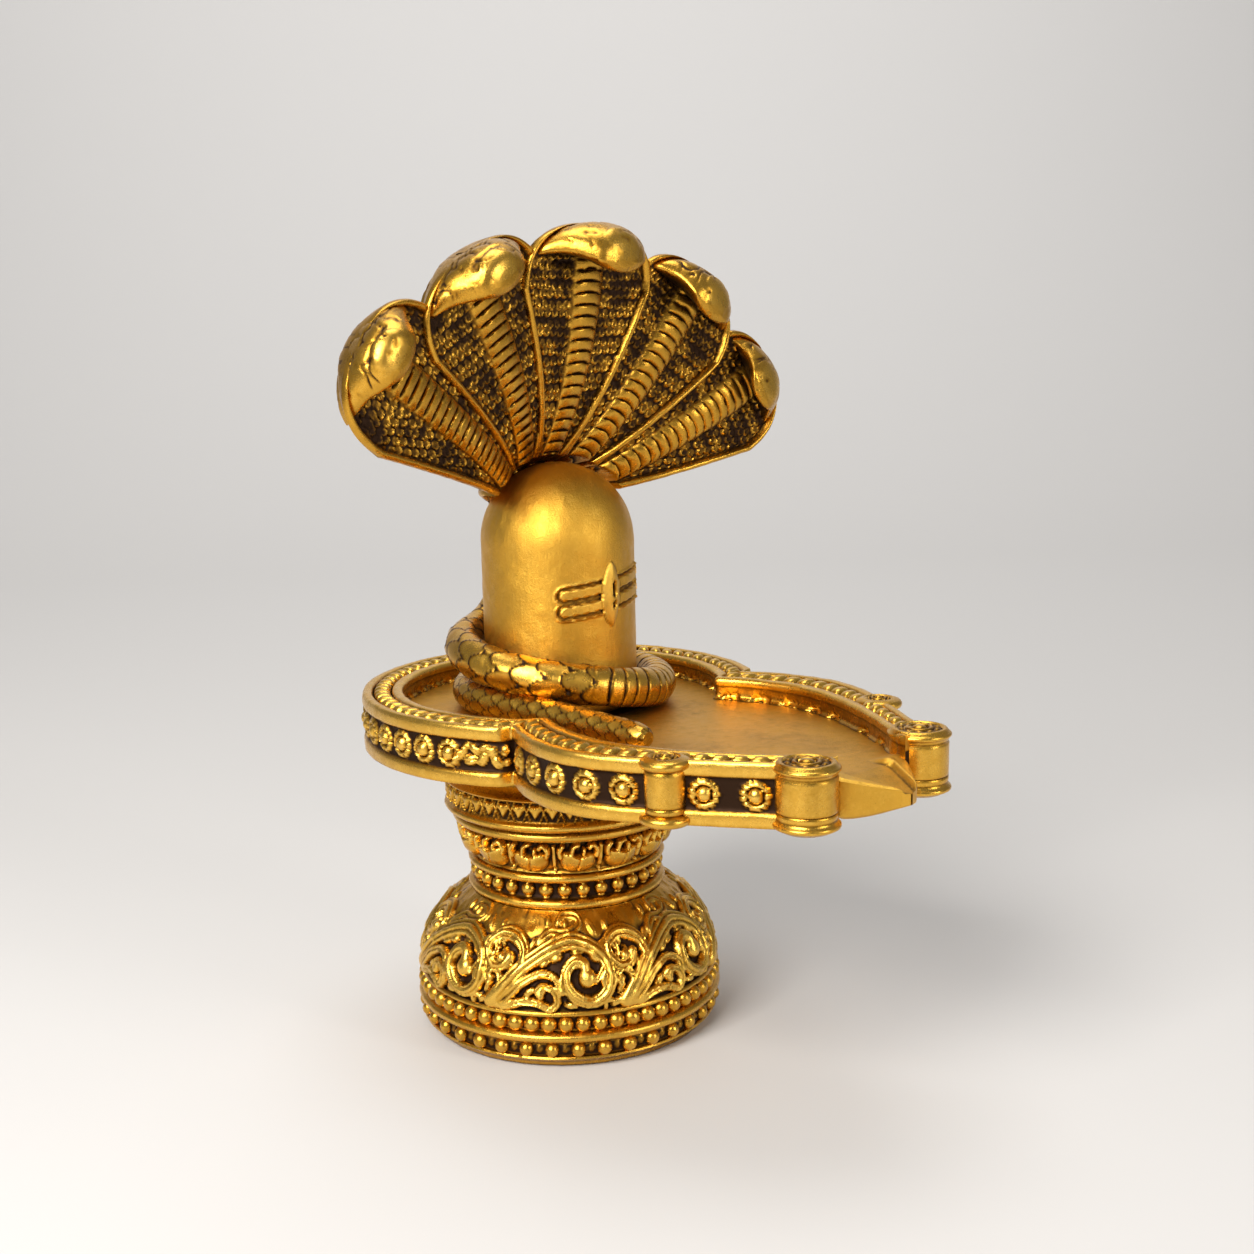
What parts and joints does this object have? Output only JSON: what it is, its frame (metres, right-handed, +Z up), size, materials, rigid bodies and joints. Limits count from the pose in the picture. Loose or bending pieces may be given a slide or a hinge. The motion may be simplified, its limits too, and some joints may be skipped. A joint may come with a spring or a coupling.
{
  "type": "shiva lingam sculpture",
  "caption": "Brass Shiva lingam under a fan of cobra hoods, coiled by the serpent's body, in a spouted tray on a carved turned pedestal.",
  "frame": {"origin": "centre of the pedestal's round underside, on the surface it stands on", "axes": "+Z up along the lingam; the spout, the three-line mark and the cobra faces look along -Y; +X is on the viewer's right when the spout points at the viewer"},
  "size_m": [0.1027, 0.1197, 0.1499],
  "materials": {
    "pedestal": "antique gold, dark in the carving",
    "yoni_tray": "antique gold, dark in the carving, satin basin",
    "lingam": "satin gold",
    "serpent": "antique gold, dark between the scales"
  },
  "bodies": {
    "root": {"pedestal": "pedestal", "yoni_tray": "yoni_tray", "lingam": "lingam", "serpent": "serpent"}
  },
  "joints": []
}
